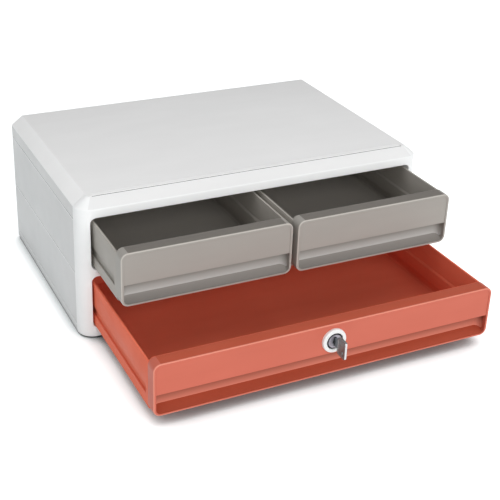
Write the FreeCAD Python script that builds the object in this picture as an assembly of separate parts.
import FreeCAD, Part
import os
from math import sin, sqrt, tan

Vector = FreeCAD.Vector

# A desktop file drawer: a moulded casing with two small drawers over one wide, lockable drawer.
# Millimetres. X runs to the right, Y to the back and Z up.
# It stands as in use: every drawer is part open and the key is in its lock.
# The origin lies on the desk, under the middle of all that.

# Casing, outside
casing_width = 370.0
casing_depth = 238.0
foot_stand = 1.2
wall = 2.4
rear_edge_radius = 2.5
base_edge = 1.6

# Sloping edge round the top, and the upright front corners in plan
slope_height = 9.3
slope_side_run = 12.0
slope_front_run = 10.0
front_corner_radius = 15.5
top_corner_radius = 5.0

# Front frame and its two openings, from the underside up
frame_depth = 16.7
frame_side_width = 11.6
lower_rail_height = 10.3
lower_opening_height = 55.6
bar_height = 7.3
upper_opening_height = 53.7
header_height = 17.8
opening_radius = 5.5
opening_edge = 0.6
frame_collar = 2.4
bead_groove_width = 1.3
bead_groove_depth = 0.7
strike_width = 60.0
strike_depth = 0.9
strike_margin = 1.0

# Lips and seams where the mouldings of the casing meet
tongue_length = 4.0
tongue_root = 3.0
lip_height = 2.0
tongue_thickness = 1.6
tongue_clearance = 0.2
seam_width = 0.45
seam_depth = 0.5

# Levels of the stacked mouldings
base_skirt_height = 9.0
shelf_seat_height = 3.6
cover_skirt_height = 13.4

# Stiffening ribs under the top and on the base
rib_thickness = 1.6
cover_rib_depth = 6.0
base_rib_height = 2.4
cover_rib_shares = (-0.36, -0.12, 0.12, 0.36)
base_rib_shares = (-0.30, 0.0, 0.30)

# Shelf between the two levels
shelf_thickness = 2.4
shelf_drop = 2.0
shelf_front_gap = 0.8
shelf_ledge_width = 3.0
shelf_rib_depth = 2.5
shelf_rib_inset = 24.0
shelf_rib_shares = (0.2, 0.5, 0.8)
shell_fit = 0.3

# Runners beside the drawers and the guide between the small ones
rail_setback = 0.2
rail_web = 2.0
rail_width = 7.1
rail_flange = 1.8
rail_top_drop = 3.0
rail_reach = 3.6
runner_clearance = 0.3
guide_web = 2.0
guide_flange_width = 30.0
guide_flange_thickness = 1.6
guide_rib_reach = 2.3

# Drawer panels
panel_thickness = 13.0
panel_radius = 7.0
panel_front_edge = 0.9
panel_wall = 2.2
rim_width = 2.6
rim_relief = 0.35
small_panel_side_gap = 2.6
small_panel_middle_gap = 5.2
small_panel_fit = 0.4
large_panel_side_gap = 1.5
large_panel_height = 51.9
large_panel_fit = 0.4
small_rib_shares = (0.2, 0.5, 0.8)
large_rib_shares = (0.07, 0.22, 0.37, 0.63, 0.78, 0.93)

# Finger recess along the foot of each panel
recess_lip_height = 21.6
recess_floor_front = 2.0
recess_floor_back = 6.4
recess_depth = 9.8
recess_end_wall = 2.4
recess_end_radius = 6.0

# Drawer trays
tray_length = 219.0
tray_side_step = 0.3
tray_wall = 1.8
tray_floor = 2.0
tray_front_wall = 2.0
tray_bottom_radius = 3.0
tray_inner_radius = 2.0
tray_rear_radius = 4.0
tray_wall_drop = 4.0
front_plate_step = 1.0
groove_offset = 13.0
groove_height = 9.0
groove_depth = 1.8
groove_front_gap = 6.0
stop_length = 6.0
stop_catch = 1.6
lug_length = 6.0
lug_height = 8.0
lug_thickness = 1.6
lug_clearance = 0.2

# Drawer travel, and how far each drawer stands open
drawer_travel = 165.0
left_opened = 74.3
right_opened = 75.0
large_opened = 153.6

# Lock in the wide drawer's panel, a little under the middle of its face
lock_drop = 1.4
ring_diameter = 23.6
ring_bore = 16.2
ring_thickness = 3.2
ring_chamfer = 1.4
flange_diameter = 20.0
flange_thickness = 1.4
flange_clearance = 0.2
housing_diameter = 14.0
housing_bore = 11.4
housing_hole_clearance = 0.15
housing_tail = 0.3
nut_width = 19.0
nut_sides = 6
nut_thickness = 2.2
cap_diameter = 13.4
cap_thickness = 1.4
barrel_diameter = 11.0
barrel_gap = 0.2
barrel_tail_width = 7.0
cam_thickness = 1.5
cam_hub_radius = 7.5
cam_tip_radius = 4.0
cam_reach = 25.0
cam_fit = 0.1
cam_screw_head = 8.0
cam_screw_head_thickness = 1.6
cam_screw_shank = 3.0
cam_screw_length = 6.0
cam_screw_fit = 0.1

# Key, and the keyway that it slides in
key_blade_height = 8.2
key_blade_thickness = 1.8
key_blade_length = 13.0
key_cut_width = 1.6
key_cut_places_shares = (0.30, 0.48, 0.66, 0.84)
key_cut_depths_shares = (0.16, 0.30, 0.20, 0.26)
keyway_clearance = 0.3
keyway_depth = 14.0
keyway_middle_width = 4.8
keyway_middle_height = 5.2
key_neck_length = 5.0
key_neck_height = 8.2
key_bow_length = 13.5
key_bow_height = 17.8
key_bow_thickness = 2.0
key_bow_radius = 3.5
key_hole_diameter = 3.4
key_hole_margin = 4.0
key_hole_drop = 4.4

# Feet
foot_diameter = 14.0
foot_recess = 0.8
foot_recess_clearance = 0.2
foot_inset_side = 22.0
foot_inset_end = 20.0

# One overrun serves all cuts
overrun = 1.0

# Planes and levels worked out from the sizes above
half_width = casing_width / 2
key_reach = (flange_thickness + barrel_gap + cap_thickness + key_neck_length + key_bow_length
             - rim_relief)
front_plane = (large_opened + key_reach - casing_depth) / 2
rear_plane = front_plane + casing_depth
frame_rear = front_plane + frame_depth
tongue_inset = wall + tongue_clearance
tongue_inner = tongue_inset + tongue_thickness
underside = foot_stand
opening_half_width = half_width - frame_side_width
lower_opening_bottom = underside + lower_rail_height
lower_opening_top = lower_opening_bottom + lower_opening_height
upper_opening_bottom = lower_opening_top + bar_height
upper_opening_top = upper_opening_bottom + upper_opening_height
casing_top = upper_opening_top + header_height
slope_foot = casing_top - slope_height
shelf_top = upper_opening_bottom - shelf_drop
shelf_bottom = shelf_top - shelf_thickness
base_seam = underside + base_skirt_height
shell_seam = shelf_bottom - shelf_seat_height
cover_seam = slope_foot - cover_skirt_height
base_floor = underside + wall
runner_front = frame_rear + tongue_length + shelf_front_gap
runner_rear = rear_plane - tongue_inner - shell_fit
rail_face = opening_half_width + rail_setback
panel_rear = front_plane + panel_thickness
tray_rear = panel_rear + tray_length
small_panel_bottom = upper_opening_bottom + small_panel_fit
small_panel_top = upper_opening_top - small_panel_fit
small_panel_inner = small_panel_middle_gap / 2
small_panel_outer = opening_half_width - small_panel_side_gap
large_panel_bottom = lower_opening_bottom + large_panel_fit
large_panel_top = large_panel_bottom + large_panel_height
large_panel_half = opening_half_width - large_panel_side_gap
lock_level = (large_panel_bottom + recess_lip_height + large_panel_top) / 2 - lock_drop
lock_face = front_plane + rim_relief
housing_rear = panel_rear + tray_front_wall + nut_thickness + housing_tail
ring_front = lock_face - ring_thickness
cap_rear = lock_face - flange_thickness - barrel_gap
cap_front = cap_rear - cap_thickness
cam_front = housing_rear + barrel_gap
cam_rear = cam_front + cam_thickness


def box(left, right, front, rear, bottom, top):
    size = (right - left, rear - front, top - bottom)
    return Part.makeBox(*size, Vector(left, front, bottom))


def disc(radius, front, rear, level, x=0):
    return Part.makeCylinder(radius, rear - front, Vector(x, front, level), Vector(0, 1, 0))


def fuse_all(shapes):
    first, *others = shapes
    return first.multiFuse(others).removeSplitter() if others else first


def rounded_outline(corners):
    """A closed wire through corners, each a point with its radius."""
    turns = []
    for index, (point, radius) in enumerate(corners):
        to_before = (corners[index - 1][0] - point).normalize()
        to_after = (corners[(index + 1) % len(corners)][0] - point).normalize()
        half_angle = to_before.getAngle(to_after) / 2
        if radius == 0:
            turns.append((point, None, point))
            continue
        tangent = radius / tan(half_angle)
        bisector = (to_before + to_after).normalize()
        middle = point + bisector * (radius / sin(half_angle) - radius)
        turns.append((point + to_before * tangent, middle, point + to_after * tangent))
    edges = []
    for index, (start, middle, end) in enumerate(turns):
        if middle:
            edges.append(Part.Arc(start, middle, end).toShape())
        edges.append(Part.makeLine(end, turns[(index + 1) % len(turns)][0]))
    return Part.Wire(edges)


def prism(corners, along):
    return Part.Face(rounded_outline(corners)).extrude(along)


def upright_block(left, right, bottom, top, front, rear, top_radius, bottom_radius):
    """A block seen from the front as a rectangle with rounded corners."""
    corners = [
        (Vector(left, front, bottom), bottom_radius),
        (Vector(right, front, bottom), bottom_radius),
        (Vector(right, front, top), top_radius),
        (Vector(left, front, top), top_radius),
    ]
    return prism(corners, Vector(0, rear - front, 0))


def plan_block(left, right, front, rear, bottom, top, front_radius, rear_radius):
    """A block seen from above as a rectangle with rounded corners."""
    corners = [
        (Vector(left, front, bottom), front_radius),
        (Vector(right, front, bottom), front_radius),
        (Vector(right, rear, bottom), rear_radius),
        (Vector(left, rear, bottom), rear_radius),
    ]
    return prism(corners, Vector(0, 0, top - bottom))


def casing_outline(side_inset, front_inset, radius, level, rear):
    """The casing in plan at one level: rounded in front, square at the rear."""
    side = half_width - side_inset
    front = front_plane + front_inset
    return rounded_outline([
        (Vector(-side, rear, level), 0),
        (Vector(-side, front, level), radius),
        (Vector(side, front, level), radius),
        (Vector(side, rear, level), 0),
    ])


def frame_body(inset, rear):
    """The front of the casing, or the space inside it when inset."""
    radius = front_corner_radius - inset
    foot = casing_outline(inset, inset, radius, underside + inset, rear)
    eave = casing_outline(inset, inset, radius, slope_foot - inset, rear)
    ridge = casing_outline(inset + slope_side_run, inset + slope_front_run,
                           top_corner_radius, casing_top - inset, rear)
    upright = Part.Face(foot).extrude(Vector(0, 0, slope_foot - underside - 2 * inset))
    slope = Part.makeLoft([eave, ridge], True, True)
    return upright.fuse(slope).removeSplitter()


def casing_section(inset, front, rear, bottom):
    """The casing seen from the front, with its sloping shoulders, drawn out to the rear."""
    side = half_width - inset
    crest = side - slope_side_run
    corners = [
        (Vector(-side, front, bottom), 0),
        (Vector(side, front, bottom), 0),
        (Vector(side, front, slope_foot - inset), 0),
        (Vector(crest, front, casing_top - inset), 0),
        (Vector(-crest, front, casing_top - inset), 0),
        (Vector(-side, front, slope_foot - inset), 0),
    ]
    return prism(corners, Vector(0, rear - front, 0))


def section_ring(outer_inset, inner_inset, front, rear):
    """A ring along the casing's section, between two planes across it."""
    outer = casing_section(outer_inset, front, rear, underside + outer_inset)
    inner = casing_section(inner_inset, front - overrun, rear + overrun,
                           underside + inner_inset)
    return outer.cut(inner)


def lower_edges(shape):
    """The edges round the underside, apart from the one that lies in the frame's seam."""
    edges = [edge for edge in shape.Edges if edge.BoundBox.ZMax < underside + base_edge]
    return [edge for edge in edges
            if edge.BoundBox.YMax < frame_rear - overrun
            or edge.BoundBox.YMin > frame_rear + overrun
            or edge.BoundBox.YLength > overrun]


def front_frame():
    collar_half = opening_half_width + frame_collar
    collars = box(-collar_half, collar_half, front_plane, frame_rear + overrun,
                  0, upper_opening_top + frame_collar)
    hollow = frame_body(wall, frame_rear + overrun).cut(collars)
    frame = frame_body(0, frame_rear)
    frame = frame.makeChamfer(base_edge, lower_edges(frame)).cut(hollow)
    strike_half = strike_width / 2
    frame = fuse_all([
        frame,
        section_ring(wall, tongue_inner, frame_rear - tongue_root, frame_rear),
        section_ring(tongue_inset, tongue_inner, frame_rear, frame_rear + tongue_length),
        box(-strike_half, strike_half, frame_rear, frame_rear + strike_depth,
            lower_opening_top + strike_margin, upper_opening_bottom - strike_margin),
    ])
    openings = ((lower_opening_bottom, lower_opening_top),
                (upper_opening_bottom, upper_opening_top))
    for bottom, top in openings:
        frame = frame.cut(upright_block(-opening_half_width, opening_half_width, bottom, top,
                                        front_plane - overrun, frame_rear + overrun,
                                        opening_radius, opening_radius))
    frame = frame.makeChamfer(opening_edge, opening_front_edges(frame))
    seam = section_ring(-overrun, seam_depth, frame_rear - seam_width, frame_rear)
    bead_half = half_width - slope_side_run - top_corner_radius
    bead_front = front_plane + slope_front_run
    bead = box(-bead_half, bead_half, bead_front, bead_front + bead_groove_width,
               casing_top - bead_groove_depth, casing_top + overrun)
    return frame.cut(seam).cut(bead)


def opening_front_edges(frame):
    """The edges round both openings in the frame's front face."""
    slack = opening_edge / 2
    return [edge for edge in frame.Edges
            if edge.BoundBox.YMax < front_plane + slack
            and edge.BoundBox.ZMin > lower_opening_bottom - slack
            and edge.BoundBox.ZMax < upper_opening_top + slack
            and edge.BoundBox.XMax < opening_half_width + slack
            and edge.BoundBox.XMin > -opening_half_width - slack]


def shell_block(inset, front, bottom, top):
    """The casing behind the frame, with its small rear corners where they show outside."""
    side = half_width - inset
    radius = rear_edge_radius - inset if inset < wall else 0
    return plan_block(-side, side, front, rear_plane - inset, bottom, top, 0, radius)


def shell_walls(outer_inset, inner_inset, bottom, top):
    """Two side walls and a rear wall behind the front frame."""
    outer = shell_block(outer_inset, frame_rear, bottom, top)
    return outer.cut(shell_block(inner_inset, frame_rear - overrun, bottom - overrun,
                                 top + overrun))


def top_tongue(seam):
    """The lip that stands inside the moulding above; it starts behind the frame's own lip."""
    root = shell_walls(wall, tongue_inner, seam - tongue_root, seam)
    lip = shell_walls(tongue_inset, tongue_inner, seam, seam + lip_height)
    behind = box(-casing_width, casing_width, runner_front, rear_plane, 0, casing_top)
    return root.fuse(lip).common(behind)


def seam_notch(seam):
    """The fine line that shows round the casing where two mouldings meet."""
    return shell_walls(-overrun, seam_depth, seam - seam_width, seam)


def base_pan():
    outer = shell_block(0, frame_rear, underside, base_seam)
    outer = outer.makeChamfer(base_edge, lower_edges(outer))
    inner = shell_block(wall, frame_rear - overrun, base_floor, base_seam + overrun)
    ribs = [box(share * casing_width, share * casing_width + rib_thickness, runner_front,
                runner_rear, base_floor, base_floor + base_rib_height)
            for share in base_rib_shares]
    pan = fuse_all([outer.cut(inner), top_tongue(base_seam), *ribs])
    for x, y in foot_places():
        radius = foot_diameter / 2 + foot_recess_clearance
        pan = pan.cut(Part.makeCylinder(radius, foot_recess + overrun,
                                        Vector(x, y, underside - overrun)))
    return pan.cut(seam_notch(base_seam))


def lower_shell():
    walls = shell_walls(0, wall, base_seam, shell_seam)
    return fuse_all([walls, top_tongue(shell_seam)]).cut(seam_notch(shell_seam))


def upper_shell():
    walls = shell_walls(0, wall, shell_seam, cover_seam)
    ledge = shell_walls(wall, wall + shelf_ledge_width,
                        shell_seam + lip_height + tongue_clearance, shelf_bottom)
    ledge = ledge.common(box(-half_width, half_width, runner_front, rear_plane, 0, casing_top))
    return fuse_all([walls, ledge, top_tongue(cover_seam)]).cut(seam_notch(cover_seam))


def top_cover():
    outer = casing_section(0, frame_rear, rear_plane, cover_seam)
    rear_edges = [edge for edge in outer.Edges
                  if edge.BoundBox.YMin > rear_plane - wall and edge.BoundBox.ZMax > slope_foot - wall]
    outer = outer.makeFillet(rear_edge_radius, rear_edges)
    inner = casing_section(wall, frame_rear - overrun, rear_plane - wall, cover_seam - overrun)
    under_top = casing_top - wall
    ribs = [box(share * casing_width, share * casing_width + rib_thickness, runner_front,
                rear_plane - wall, under_top - cover_rib_depth, under_top)
            for share in cover_rib_shares]
    return fuse_all([outer.cut(inner), *ribs])


def middle_shelf():
    side = half_width - wall - shell_fit
    plate = box(-side, side, runner_front, runner_rear, shelf_bottom, shelf_top)
    rib_end = side - shelf_rib_inset
    ribs = []
    for share in shelf_rib_shares:
        rib_front = runner_front + share * (runner_rear - runner_front)
        ribs.append(box(-rib_end, rib_end, rib_front, rib_front + rib_thickness,
                        shelf_bottom - shelf_rib_depth, shelf_bottom))
    return fuse_all([plate, *ribs])


def side_rail(bottom, top, tray_bottom):
    """The right-hand runner: a channel with the rib that carries the drawer."""
    web = rail_face + rail_web
    outer = rail_face + rail_width
    reach = rail_face - rail_reach
    rib_bottom = tray_bottom + groove_offset + runner_clearance
    rib_top = tray_bottom + groove_offset + groove_height - runner_clearance
    section = [
        (rail_face, bottom), (outer, bottom), (outer, bottom + rail_flange),
        (web, bottom + rail_flange), (web, top - rail_flange), (outer, top - rail_flange),
        (outer, top), (rail_face, top), (rail_face, rib_top), (reach, rib_top),
        (reach, rib_bottom), (rail_face, rib_bottom),
    ]
    corners = [(Vector(x, runner_front, z), 0) for x, z in section]
    return prism(corners, Vector(0, runner_rear - runner_front, 0))


def upper_rail():
    return side_rail(shelf_top, small_panel_top - tray_wall_drop - rail_top_drop,
                     small_panel_bottom)


def lower_rail():
    return side_rail(base_floor, large_panel_top - tray_wall_drop - rail_top_drop,
                     large_panel_bottom)


def centre_guide():
    """The upright between the small drawers, with a rib on each side."""
    flange_half = guide_flange_width / 2
    flange_top = shelf_top + guide_flange_thickness
    web_half = guide_web / 2
    reach = web_half + guide_rib_reach
    top = small_panel_top - tray_wall_drop
    rib_bottom = small_panel_bottom + groove_offset + runner_clearance
    rib_top = small_panel_bottom + groove_offset + groove_height - runner_clearance
    half_section = [
        (flange_half, shelf_top), (flange_half, flange_top), (web_half, flange_top),
        (web_half, rib_bottom), (reach, rib_bottom), (reach, rib_top), (web_half, rib_top),
        (web_half, top),
    ]
    section = half_section + [(-x, z) for x, z in reversed(half_section)]
    corners = [(Vector(x, runner_front, z), 0) for x, z in section]
    return prism(corners, Vector(0, runner_rear - runner_front, 0))


def foot_places():
    side = half_width - foot_inset_side
    front = front_plane + frame_depth + foot_inset_end
    rear = rear_plane - foot_inset_end
    return [(x, y) for x in (-side, side) for y in (front, rear)]


def rubber_feet():
    return Part.makeCompound([
        Part.makeCylinder(foot_diameter / 2, foot_stand + foot_recess, Vector(x, y, 0))
        for x, y in foot_places()])


def recess_space(left, right, bottom):
    """The scoop for the fingers: an overhanging lip, a sloping floor and rounded ends."""
    end_left = left + recess_end_wall
    end_right = right - recess_end_wall
    back = front_plane + recess_depth
    lip = bottom + recess_lip_height
    floor_front = bottom + recess_floor_front
    floor_back = bottom + recess_floor_back
    side_view = [
        (front_plane - overrun, floor_front), (front_plane, floor_front),
        (back, floor_back), (back, lip), (front_plane - overrun, lip),
    ]
    scoop = prism([(Vector(end_left, y, z), 0) for y, z in side_view],
                  Vector(end_right - end_left, 0, 0))
    plan = plan_block(end_left, end_right, front_plane - overrun, back, bottom, lip,
                      0, recess_end_radius)
    face = upright_block(end_left, end_right, floor_front, lip, front_plane - overrun, back,
                         0, panel_radius - recess_end_wall)
    return scoop.common(plan).common(face)


def rib_places(left, right, rib_shares):
    return [left + share * (right - left) for share in rib_shares]


def drawer_panel(left, right, bottom, top, rib_shares):
    """A hollow drawer front with a raised rim, open behind where the tray closes it."""
    panel = upright_block(left, right, bottom, top, front_plane, panel_rear,
                          panel_radius, panel_radius)
    front_edges = [edge for edge in panel.Edges if edge.BoundBox.YMax < front_plane + panel_wall]
    panel = panel.makeChamfer(panel_front_edge, front_edges)
    lip = bottom + recess_lip_height
    relief = upright_block(left + rim_width, right - rim_width, lip, top - rim_width,
                           front_plane - overrun, front_plane + rim_relief,
                           panel_radius - rim_width, 0)
    hollow = upright_block(left + panel_wall, right - panel_wall, lip + panel_wall,
                           top - panel_wall, front_plane + panel_wall + rim_relief,
                           panel_rear + overrun, panel_radius - panel_wall, 0)
    panel = panel.cut(relief).cut(hollow).cut(recess_space(left, right, bottom))
    ribs = [box(x - rib_thickness / 2, x + rib_thickness / 2, front_plane + panel_wall,
                panel_rear, lip, top - panel_wall / 2)
            for x in rib_places(left, right, rib_shares)]
    return fuse_all([panel, *ribs])


def tray_cavity(left, right, bottom, top):
    """The hollow of a tray: its sides step in where the runner grooves lie outside."""
    inner = left + tray_wall
    step = inner + groove_depth
    ledge_top = bottom + groove_offset + groove_height + tray_wall
    ledge_bottom = bottom + groove_offset - tray_wall
    middle = (left + right) / 2
    half_section = [
        (inner, top + overrun, 0), (inner, ledge_top + groove_depth, 0), (step, ledge_top, 0),
        (step, ledge_bottom, 0), (inner, ledge_bottom - groove_depth, 0),
        (inner, bottom + tray_floor, tray_inner_radius),
    ]
    mirrored = [(2 * middle - x, z, radius) for x, z, radius in reversed(half_section)]
    front = panel_rear + tray_front_wall
    corners = [(Vector(x, front, z), radius) for x, z, radius in half_section + mirrored]
    rear = tray_rear - tray_wall
    hollow = prism(corners, Vector(0, rear - front, 0))
    inner_radius = tray_rear_radius - tray_wall
    plan = plan_block(inner, right - tray_wall, front, rear, bottom, top + overrun,
                      inner_radius, inner_radius)
    return hollow.common(plan)


def drawer_tray(left, right, bottom, top, panel_edges, opening_top, rib_shares):
    """A tray behind its panel: runner grooves outside, stops at the rear, lugs in front."""
    tray_top = top - tray_wall_drop
    tub = upright_block(left, right, bottom, tray_top, panel_rear, tray_rear,
                        0, tray_bottom_radius)
    tub = tub.common(plan_block(left, right, panel_rear, tray_rear, bottom, tray_top,
                                0, tray_rear_radius))
    groove_bottom = bottom + groove_offset
    groove_top = groove_bottom + groove_height
    for outer, inner in ((left - overrun, left + groove_depth),
                         (right - groove_depth, right + overrun)):
        tub = tub.cut(box(outer, inner, panel_rear + groove_front_gap, tray_rear + overrun,
                          groove_bottom, groove_top))
    panel_left, panel_right = panel_edges
    plate_radius = panel_radius - front_plate_step
    plate = upright_block(panel_left + front_plate_step, panel_right - front_plate_step,
                          bottom, top - front_plate_step, panel_rear,
                          panel_rear + tray_front_wall, plate_radius, plate_radius)
    stop_front = frame_rear + runner_clearance + drawer_travel
    stops = [box(x, x + tray_wall, stop_front, stop_front + stop_length,
                 tray_top - tray_wall, opening_top + stop_catch)
             for x in (left, right - tray_wall)]
    lug_offset = rib_thickness / 2 + lug_clearance
    lug_level = (bottom + recess_lip_height + panel_wall + top - panel_wall) / 2
    lugs = []
    for x in rib_places(panel_left, panel_right, rib_shares):
        for lug_left in (x - lug_offset - lug_thickness, x + lug_offset):
            lugs.append(box(lug_left, lug_left + lug_thickness, panel_rear - lug_length,
                            panel_rear, lug_level - lug_height / 2, lug_level + lug_height / 2))
    tub = tub.cut(tray_cavity(left, right, bottom, tray_top))
    return fuse_all([tub, plate, *stops, *lugs])


def opened(shape, distance):
    """Slides a closed drawer out towards the front."""
    return shape.translated(Vector(0, -distance, 0))


def right_panel():
    return drawer_panel(small_panel_inner, small_panel_outer, small_panel_bottom,
                        small_panel_top, small_rib_shares)


def right_tray():
    return drawer_tray(small_panel_inner + tray_side_step, small_panel_outer - tray_side_step,
                       small_panel_bottom, small_panel_top,
                       (small_panel_inner, small_panel_outer), upper_opening_top,
                       small_rib_shares)


def mirrored_left(shape):
    return shape.mirror(Vector(0, 0, 0), Vector(1, 0, 0))


def lock_hole():
    radius = housing_diameter / 2 + housing_hole_clearance
    return disc(radius, front_plane - overrun, panel_rear + tray_front_wall + overrun, lock_level)


def large_panel():
    panel = drawer_panel(-large_panel_half, large_panel_half, large_panel_bottom,
                         large_panel_top, large_rib_shares)
    return panel.cut(lock_hole())


def large_tray():
    half = large_panel_half - tray_side_step
    tray = drawer_tray(-half, half, large_panel_bottom, large_panel_top,
                       (-large_panel_half, large_panel_half), lower_opening_top,
                       large_rib_shares)
    return tray.cut(lock_hole())


def lock_ring():
    ring = disc(ring_diameter / 2, ring_front, lock_face, lock_level)
    rim = [edge for edge in ring.Edges if edge.BoundBox.YMax < ring_front + ring_chamfer]
    ring = ring.makeChamfer(ring_chamfer, rim)
    flange_seat = disc(flange_diameter / 2 + flange_clearance,
                       lock_face - flange_thickness - flange_clearance,
                       lock_face + overrun, lock_level)
    bore = disc(ring_bore / 2, ring_front - overrun, lock_face + overrun, lock_level)
    return ring.cut(bore).cut(flange_seat)


def lock_housing():
    flange = disc(flange_diameter / 2, lock_face - flange_thickness, lock_face, lock_level)
    body = disc(housing_diameter / 2, lock_face - flange_thickness, housing_rear, lock_level)
    bore = disc(housing_bore / 2, ring_front, housing_rear + overrun, lock_level)
    return flange.fuse(body).removeSplitter().cut(bore)


def lock_nut():
    front = panel_rear + tray_front_wall
    nut = Part.Face(hexagon(nut_width, front, lock_level)).extrude(Vector(0, nut_thickness, 0))
    hole = disc(housing_diameter / 2 + housing_hole_clearance, front - overrun,
                front + nut_thickness + overrun, lock_level)
    return nut.cut(hole)


def hexagon(width, y, level):
    corner = Vector(width / sqrt(3), 0, 0)
    points = []
    for step in range(nut_sides):
        turned = FreeCAD.Rotation(Vector(0, 1, 0), 360 / nut_sides * step).multVec(corner)
        points.append(turned + Vector(0, y, level))
    return Part.makePolygon(points + points[:1])


def lock_barrel():
    cap = disc(cap_diameter / 2, cap_front, cap_rear, lock_level)
    body = disc(barrel_diameter / 2, cap_front, cam_front, lock_level)
    tail_half = barrel_tail_width / 2
    tail = box(-tail_half, tail_half, cap_rear, cam_rear,
               lock_level - tail_half, lock_level + tail_half)
    barrel = fuse_all([cap, body, tail])
    slot_half = key_blade_thickness / 2 + keyway_clearance
    slot_height = key_blade_height / 2 + keyway_clearance
    keyway = box(-slot_half, slot_half, cap_front - overrun, cap_front + keyway_depth,
                 lock_level - slot_height, lock_level + slot_height)
    screw_hole = disc(cam_screw_shank / 2 + cam_screw_fit, cam_rear - cam_screw_length,
                      cam_rear + overrun, lock_level)
    return barrel.cut(keyway).cut(keyway_middle()).cut(screw_hole)


def keyway_middle():
    """The lozenge that widens the keyway about the axis of the barrel."""
    front = cap_front - overrun
    return prism([
        (Vector(-keyway_middle_width / 2, front, lock_level), 0),
        (Vector(0, front, lock_level - keyway_middle_height / 2), 0),
        (Vector(keyway_middle_width / 2, front, lock_level), 0),
        (Vector(0, front, lock_level + keyway_middle_height / 2), 0),
    ], Vector(0, overrun + keyway_depth, 0))


def lock_cam():
    """The tongue of the lock: it lies to the left and swings up behind the bar."""
    tip = cam_reach - cam_tip_radius
    hub = disc(cam_hub_radius, cam_front, cam_rear, lock_level)
    arm = box(-tip, 0, cam_front, cam_rear, lock_level - cam_tip_radius,
              lock_level + cam_tip_radius)
    end = disc(cam_tip_radius, cam_front, cam_rear, lock_level, -tip)
    hole_half = barrel_tail_width / 2 + cam_fit
    hole = box(-hole_half, hole_half, cam_front - overrun, cam_rear + overrun,
               lock_level - hole_half, lock_level + hole_half)
    return fuse_all([hub, arm, end]).cut(hole)


def cam_screw():
    head = disc(cam_screw_head / 2, cam_rear, cam_rear + cam_screw_head_thickness, lock_level)
    shank = disc(cam_screw_shank / 2, cam_rear - cam_screw_length + cam_screw_fit, cam_rear,
                 lock_level)
    return fuse_all([head, shank])


def key_cut(place_share, depth_share):
    """A notch in the blade's upper edge for one wafer of the lock."""
    half = key_blade_thickness / 2 + overrun
    middle = cap_front + place_share * key_blade_length
    edge = lock_level + key_blade_height / 2
    foot = edge - depth_share * key_blade_height
    rise = (edge - foot) + key_cut_width / 2
    corners = [
        (Vector(-half, middle - rise, edge + overrun), 0),
        (Vector(-half, middle - key_cut_width / 2, foot), 0),
        (Vector(-half, middle + key_cut_width / 2, foot), 0),
        (Vector(-half, middle + rise, edge + overrun), 0),
    ]
    return prism(corners, Vector(2 * half, 0, 0))


def key():
    """A flat key in the upright keyway: blade, neck and a plate to hold it by."""
    blade_half = key_blade_thickness / 2
    blade = box(-blade_half, blade_half, cap_front - key_neck_length,
                cap_front + key_blade_length, lock_level - key_blade_height / 2,
                lock_level + key_blade_height / 2)
    neck_half = key_bow_thickness / 2
    bow_rear = cap_front - key_neck_length
    bow_front = bow_rear - key_bow_length
    neck = box(-neck_half, neck_half, bow_rear, cap_front - barrel_gap,
               lock_level - key_neck_height / 2, lock_level + key_neck_height / 2)
    bow_bottom = lock_level - key_bow_height / 2
    bow_top = lock_level + key_bow_height / 2
    bow = prism([
        (Vector(-neck_half, bow_rear, bow_bottom), key_bow_radius),
        (Vector(-neck_half, bow_front, bow_bottom), key_bow_radius / 2),
        (Vector(-neck_half, bow_front, bow_top), key_bow_radius / 2),
        (Vector(-neck_half, bow_rear, bow_top), key_bow_radius),
    ], Vector(key_bow_thickness, 0, 0))
    hole = Part.makeCylinder(key_hole_diameter / 2, key_bow_thickness + 2 * overrun,
                             Vector(-neck_half - overrun, bow_front + key_hole_margin,
                                    lock_level - key_hole_drop), Vector(1, 0, 0))
    solid = fuse_all([blade, neck, bow]).cut(hole)
    for place, depth in zip(key_cut_places_shares, key_cut_depths_shares):
        solid = solid.cut(key_cut(place, depth))
    return solid


def write_parts():
    os.makedirs("parts", exist_ok=True)
    upper = upper_rail()
    lower = lower_rail()
    small_panel = right_panel()
    small_tray = right_tray()
    parts = {
        "front_frame": front_frame(),
        "top_cover": top_cover(),
        "upper_shell": upper_shell(),
        "lower_shell": lower_shell(),
        "base_pan": base_pan(),
        "middle_shelf": middle_shelf(),
        "centre_guide": centre_guide(),
        "upper_right_runner": upper,
        "upper_left_runner": mirrored_left(upper),
        "lower_right_runner": lower,
        "lower_left_runner": mirrored_left(lower),
        "rubber_feet": rubber_feet(),
        "right_drawer_front": opened(small_panel, right_opened),
        "right_drawer_tray": opened(small_tray, right_opened),
        "left_drawer_front": opened(mirrored_left(small_panel), left_opened),
        "left_drawer_tray": opened(mirrored_left(small_tray), left_opened),
        "large_drawer_front": opened(large_panel(), large_opened),
        "large_drawer_tray": opened(large_tray(), large_opened),
        "lock_ring": opened(lock_ring(), large_opened),
        "lock_housing": opened(lock_housing(), large_opened),
        "lock_nut": opened(lock_nut(), large_opened),
        "lock_barrel": opened(lock_barrel(), large_opened),
        "lock_cam": opened(lock_cam(), large_opened),
        "cam_screw": opened(cam_screw(), large_opened),
        "key": opened(key(), large_opened),
    }
    for name, shape in parts.items():
        shape.exportStep("parts/" + name + ".step")
        print(name, "solids", len(shape.Solids), "valid", shape.isValid(),
              "volume", round(shape.Volume))


write_parts()
